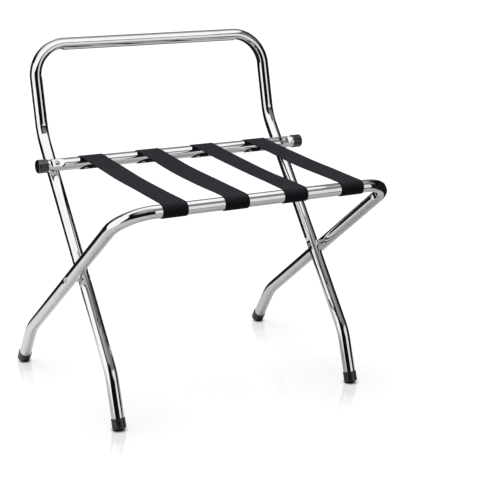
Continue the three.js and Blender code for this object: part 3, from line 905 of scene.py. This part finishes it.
class StrapLine:
    """The strap's middle surface in the side view, as places and outward directions by length along it."""

    def __init__(self):
        self.radius = STRAP_INNER_RADIUS + STRAP_THICKNESS / 2
        run = FRONT_RAIL - CROSSBAR
        self.top = atan2(-run.y, run.z)
        self.rear_start = radians(180 + STRAP_END)
        self.rear_wrap = (self.top + 2 * pi - self.rear_start) * self.radius
        self.run = run.length
        self.front_wrap = (radians(360 - STRAP_END) - self.top) * self.radius
        self.length = self.rear_wrap + self.run + self.front_wrap

    def at(self, distance, sag):
        """Place and outward direction in the side view, with the run hanging by sag at its middle."""
        if distance < self.rear_wrap:
            angle = self.rear_start + distance / self.radius
            return self.on_rail(CROSSBAR, angle)
        if distance > self.rear_wrap + self.run:
            angle = self.top + (distance - self.rear_wrap - self.run) / self.radius
            return self.on_rail(FRONT_RAIL, angle)
        share = (distance - self.rear_wrap) / self.run
        start, out = self.on_rail(CROSSBAR, self.top)
        along = (FRONT_RAIL - CROSSBAR) / self.run
        drop = sag * sin(pi * share) ** 2
        slope = sag * pi / self.run * sin(2 * pi * share)
        return start + along * (share * self.run) - out * drop, (out + along * slope).normalized()

    def on_rail(self, rail, angle):
        out = Vector((0, cos(angle), sin(angle)))
        return rail + out * self.radius, out

    def marks(self):
        """Lengths along the strap: even steps on each wrap and on the run."""
        arc = radians(STRAP_ARC_STEP) * self.radius
        parts = [(0, self.rear_wrap, arc), (self.rear_wrap, self.rear_wrap + self.run, STRAP_RUN_STEP),
                 (self.rear_wrap + self.run, self.length, arc)]
        marks = [np.linspace(a, b, round((b - a) / step) + 1)[:-1] for a, b, step in parts]
        return np.append(np.concatenate(marks), self.length)


def strap_section(half_width):
    """Points round the strap's section, (across, share of thickness), with rounded edges."""
    columns = np.linspace(-1, 1, STRAP_COLUMNS) * (half_width - STRAP_EDGE)
    arc = [radians(a) for a in STRAP_EDGE_ANGLES]
    edge = [(STRAP_EDGE * cos(a), sin(a)) for a in arc]
    top = [(x, 1.0) for x in columns]
    right = [(columns[-1] + x, y) for x, y in edge]
    bottom = [(x, -1.0) for x in reversed(columns)]
    left = [(columns[0] - x, y) for x, y in reversed(edge)]
    return top + right + bottom + left


def wave(height_and_rate, mark, phase):
    height, rate = height_and_rate
    return height * sin(rate * mark + phase)


def make_strap(number, line, webbing):
    """A strap with rounded tongue ends, a little sag and tilt, and faint ripples along it."""
    node = f"strap_{number}"
    low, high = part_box(node)
    half_width = (high.x - low.x) / 2
    section = strap_section(half_width)
    tongue = radians(STRAP_TONGUE) * line.radius
    reach = TONGUE_REACH * line.rear_wrap
    sag, tilt = STRAP_SAG[number - 1], STRAP_TILT[number - 1]
    phase = STRAP_PHASE * number
    points, uvs, rings = [], [], []
    for mark in line.marks():
        rings.append(list(range(len(points), len(points) + len(section))))
        for across, share in section:
            shorter = tongue * (1 - sqrt(max(0.0, 1 - (across / half_width) ** 2)))
            near_start, near_end = max(0, 1 - mark / reach), max(0, 1 - (line.length - mark) / reach)
            distance = mark + shorter * near_start - shorter * near_end
            side = across / half_width
            place, out = line.at(distance, sag + tilt * side)
            free = smooth_step(min(mark - line.rear_wrap, line.rear_wrap + line.run - mark), 0, STRAP_FREE)
            ripple = wave(STRAP_RIPPLE, mark, phase) + side * wave(STRAP_TWIST, mark, 2 * phase)
            lift = free * (ripple - STRAP_CUP * side * side) + share * STRAP_THICKNESS / 2
            drift = free * wave(STRAP_DRIFT, mark, phase)
            points.append(at_x(place + out * lift, (low.x + high.x) / 2 + across + drift))
            uvs.append((across, distance))
    faces = [tuple(reversed(rings[0])), tuple(rings[-1])]
    for first, second in zip(rings, rings[1:]):
        faces += band_faces(first, second)
    strap = make_object(f"webbing_{node}", points, faces, webbing, STRAP_SHARP)
    layer = strap.data.uv_layers.new(name="weave")
    for loop in strap.data.loops:
        layer.data[loop.index].uv = uvs[loop.vertex_index]
    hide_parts(node)
    start, end = line.at(line.rear_wrap, 0)[0], line.at(line.rear_wrap + line.run, 0)[0]
    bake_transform(strap)


def straps():
    low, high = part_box("strap_1")
    webbing = webbing_material((high.x - low.x) / 2)
    line = StrapLine()
    for number in STRAPS:
        make_strap(number, line, webbing)


# -------------------- studio

# What the chrome mirrors. Azimuth 0 is +Y and 90 is +X, and angles are in degrees.
# Soft lights on the walls: (azimuth, half width, lowest, highest, brightness).
WALL_LIGHTS = [
    (25, 30, 16, 52, 0.22),
    (140, 38, 26, 60, 0.20),
]
WALL_EDGE = 6
DARK_WALL = 0.005
CEILING_EDGES = (42, 62)
CEILING_LIGHT = 0.5

# How much light the walls and ceiling give to matt surfaces.
SOFT_LIGHT = 0.05

# Cards near the object: (centre, facing, width, height, brightness). A card faces the given direction.
CARDS = [
    ((-1.17, -0.05, 0.65), (1, 0, 0), 1.04, 1.30, 1.05),
    ((0.85, -1.66, 0.67), (-0.37, 0.93, 0), 1.20, 1.34, 0.80),
    ((-0.20, -0.12, 1.08), (0, 0, -1), 1.45, 0.70, 1.05),
    ((0.72, -0.15, 0.31), (-1, 0, 0), 0.50, 0.62, 0.01),
]

# The part of the floor that the chrome mirrors as lit: where it ends, how softly, and how bright it is on
# the left and on the right. At the rear it is brighter by a gain. Matt surfaces get a share of its light.
LIT_FLOOR_X = (-1.3, 0.8)
LIT_FLOOR_Y = (-1.4, 0.56)
LIT_FLOOR_EDGE = 0.12
LIT_FLOOR_BLEND = (-0.5, 0.35)
LIT_FLOOR_LEFT = 0.53
LIT_FLOOR_RIGHT = 0.41
LIT_FLOOR_REAR = (0.02, 0.26)
LIT_FLOOR_REAR_GAIN = 1.32
DARK_FLOOR = 0.010
FLOOR_BOUNCE = 0.3

# The floor as the camera sees it: paint, glow, a mirror's share round each foot, and a painted contact shadow
# at each contact.
FLOOR_PAINT = 0.34
FLOOR_GLOW = 0.74
FLOOR_MIRROR = 0.23
MIRROR_REACH = (0.04, 0.20)
CONTACT_REACH = 9 * MM
CONTACT_DARK = 0.15
FLOOR_RADIUS = 30
FLOOR_SIDES = 96
FLOOR_DROP = 0.2 * MM

# The overhead light, with its spread and turn in degrees.
SUN_STRENGTH = 3.3
SUN_SPREAD = 76
SUN_TURN = (-8, -10, 0)


def wall_light(nodes, level, height, azimuth, half_width, lowest, highest, brightness):
    """One soft-edged light: level is the horizontal direction, and height the sine of the elevation."""
    toward = Vector((sin(radians(azimuth)), cos(radians(azimuth)), 0))
    edge = [cos(radians(half_width + sign * WALL_EDGE)) for sign in (1, -1)]
    width = nodes.ramp(nodes.vector("DOT_PRODUCT", level, toward), *edge)
    rise = [sin(radians(lowest + sign * WALL_EDGE)) for sign in (-1, 1)]
    fall = [sin(radians(highest + sign * WALL_EDGE)) for sign in (-1, 1)]
    above = nodes.ramp(height, *rise)
    below = nodes.ramp(height, *fall, brightness, 0.0)
    return nodes.math("MULTIPLY", nodes.math("MULTIPLY", width, above), below)


def make_world():
    """Dark walls with soft lights and a paler ceiling. The camera and the floor's mirror see white."""
    world = bpy.data.worlds.new("studio")
    bpy.context.scene.world = world
    world.use_nodes = True
    nodes = Nodes(world.node_tree)
    direction = nodes.add("ShaderNodeTexCoord").outputs["Generated"]
    level = nodes.vector("NORMALIZE", nodes.vector("MULTIPLY", direction, (1, 1, 0)))
    height = nodes.split(direction)["Z"]
    sines = [sin(radians(edge)) for edge in CEILING_EDGES]
    light = nodes.ramp(height, *sines, DARK_WALL, CEILING_LIGHT)
    for wall in WALL_LIGHTS:
        light = nodes.math("MAXIMUM", light, wall_light(nodes, level, height, *wall))
    path = nodes.add("ShaderNodeLightPath")
    strength = nodes.choose(path.outputs["Is Glossy Ray"], SOFT_LIGHT, light)
    strength = nodes.choose(path.outputs["Is Singular Ray"], strength, 1.0)
    strength = nodes.choose(path.outputs["Is Camera Ray"], strength, 1.0)
    background = nodes.add("ShaderNodeBackground")
    nodes.link(strength, background.inputs["Strength"])
    background.inputs["Color"].default_value = grey(1.0)
    nodes.link(background.outputs[0], nodes.add("ShaderNodeOutputWorld").inputs["Surface"])


def two_shaders(nodes, share, first, second):
    """The first shader where the share is 0 and the second where it is 1."""
    mix = nodes.add("ShaderNodeMixShader")
    nodes.put(mix.inputs[0], share)
    nodes.link(first.outputs[0], mix.inputs[1])
    nodes.link(second.outputs[0], mix.inputs[2])
    return mix


def card_material(brightness):
    """A glow that the floor's mirror looks through."""
    material = bpy.data.materials.new("card")
    material.use_nodes = True
    nodes = Nodes(material.node_tree)
    glow = nodes.add("ShaderNodeEmission")
    glow.inputs["Strength"].default_value = brightness
    clear = nodes.add("ShaderNodeBsdfTransparent")
    path = nodes.add("ShaderNodeLightPath")
    seen = two_shaders(nodes, path.outputs["Is Singular Ray"], glow, clear)
    nodes.link(seen.outputs[0], nodes.add("ShaderNodeOutputMaterial").inputs["Surface"])
    material.cycles.emission_sampling = "NONE"
    return material


def make_cards():
    """Cards that only show as reflections."""
    for centre, facing, width, height, brightness in CARDS:
        corners = [(x * width / 2, y * height / 2, 0) for x, y in SQUARE]
        card = make_object("card", corners, [(0, 1, 2, 3)], card_material(brightness))
        turn = Vector(facing).to_track_quat("Z", "Y")
        card.matrix_world = Matrix.Translation(centre) @ turn.to_matrix().to_4x4()
        card.visible_camera = False
        card.visible_diffuse = False
        card.visible_shadow = False


def inside_edges(nodes, value, edges):
    """1 between two soft edges of the lit floor and 0 outside them."""
    low, high = edges
    past_low = nodes.ramp(value, low - LIT_FLOOR_EDGE, low + LIT_FLOOR_EDGE)
    short_of_high = nodes.ramp(value, high - LIT_FLOOR_EDGE, high + LIT_FLOOR_EDGE, 1.0, 0.0)
    return nodes.math("MULTIPLY", past_low, short_of_high)


def sole_distance(nodes, place):
    """How far a place on the floor is from the nearest sole."""
    nearest = None
    for mount in record["mounts"]:
        if mount["name"].endswith("_sole"):
            distance = nodes.vector("DISTANCE", place, mount["pos_m"])
            nearest = nodes.math("MINIMUM", distance, nearest) if nearest else distance
    return nearest


def seen_floor(nodes, shader, place):
    """What the camera sees: pale and glowing, with a painted contact shadow at each contact, and a faint
    mirror round the feet.
    """
    # Ambient occlusion darkens the paint and the glow near each sole: a painted contact shadow.
    nearby = nodes.add("ShaderNodeAmbientOcclusion")
    nearby.inputs["Distance"].default_value = CONTACT_REACH
    clear = nodes.ramp(nearby.outputs["AO"], CONTACT_DARK, 1.0)
    nodes.link(nodes.mix(clear, grey(0.0), grey(FLOOR_PAINT)), shader.inputs["Base Color"])
    shader.inputs["Roughness"].default_value = 1
    shader.inputs["Specular IOR Level"].default_value = 0
    shader.inputs["Emission Color"].default_value = grey(1.0)
    nodes.link(nodes.math("MULTIPLY", clear, FLOOR_GLOW), shader.inputs["Emission Strength"])
    mirror = nodes.add("ShaderNodeBsdfGlossy")
    mirror.inputs["Roughness"].default_value = 0
    share = nodes.ramp(sole_distance(nodes, place), *MIRROR_REACH, FLOOR_MIRROR, 0.0)
    return two_shaders(nodes, share, shader, mirror)


def lit_floor(nodes, place, is_bounce):
    """What the object mirrors: a lit patch with dark beyond."""
    x, y, _ = nodes.split(place)
    side = nodes.ramp(x, *LIT_FLOOR_BLEND, LIT_FLOOR_LEFT, LIT_FLOOR_RIGHT)
    rear = nodes.ramp(y, *LIT_FLOOR_REAR, 1.0, LIT_FLOOR_REAR_GAIN)
    lit = nodes.math("MULTIPLY", side, rear)
    for value, edges in ((x, LIT_FLOOR_X), (y, LIT_FLOOR_Y)):
        lit = nodes.math("MULTIPLY", lit, inside_edges(nodes, value, edges))
    brightness = nodes.math("MAXIMUM", lit, DARK_FLOOR)
    thrown = nodes.add("ShaderNodeBsdfDiffuse")
    bounce = nodes.choose(is_bounce, 1.0, FLOOR_BOUNCE)
    nodes.link(nodes.math("MULTIPLY", brightness, bounce), thrown.inputs["Color"])
    return thrown


def floor_material():
    """One floor for the camera and another for what the object mirrors."""
    material, nodes, shader = new_material("pale_floor")
    place = nodes.place()
    path = nodes.add("ShaderNodeLightPath")
    seen = seen_floor(nodes, shader, place)
    thrown = lit_floor(nodes, place, path.outputs["Is Diffuse Ray"])
    choice = two_shaders(nodes, path.outputs["Is Camera Ray"], thrown, seen)
    output = next(node for node in nodes.tree.nodes if node.type == "OUTPUT_MATERIAL")
    nodes.link(choice.outputs[0], output.inputs["Surface"])
    return material


def make_floor():
    """A wide disc just under the soles, so that the two don't share a plane."""
    mesh = bpy.data.meshes.new("floor")
    bm = bmesh.new()
    bmesh.ops.create_circle(bm, cap_ends=True, radius=FLOOR_RADIUS, segments=FLOOR_SIDES)
    bm.to_mesh(mesh)
    bm.free()
    mesh.materials.append(floor_material())
    floor = bpy.data.objects.new("floor", mesh)
    floor.location.z = -FLOOR_DROP
    bpy.context.scene.collection.objects.link(floor)


def make_lights():
    """One very soft overhead light, which adds no highlight of its own to the chrome."""
    data = bpy.data.lights.new("overhead", "SUN")
    data.energy = SUN_STRENGTH
    data.angle = radians(SUN_SPREAD)
    lamp = bpy.data.objects.new("overhead", data)
    lamp.rotation_euler = [radians(angle) for angle in SUN_TURN]
    lamp.visible_glossy = False
    bpy.context.scene.collection.objects.link(lamp)


# -------------------- making it

bpy.context.scene.view_settings.view_transform = "Standard"
make_camera()
make_world()
make_floor()
make_cards()
make_lights()

chrome = chrome_material()
steel = steel_material()
backrest_frame(chrome)
seat_frame(chrome)
rear_crossbar(chrome)
foot_caps(rubber_material())
crossbar_caps(plastic_material())
pivot_rivets(steel)
pivot_spacers(steel)
crossbar_bolts(steel)
crossbar_nuts(steel)
strap_screws(steel)
straps()
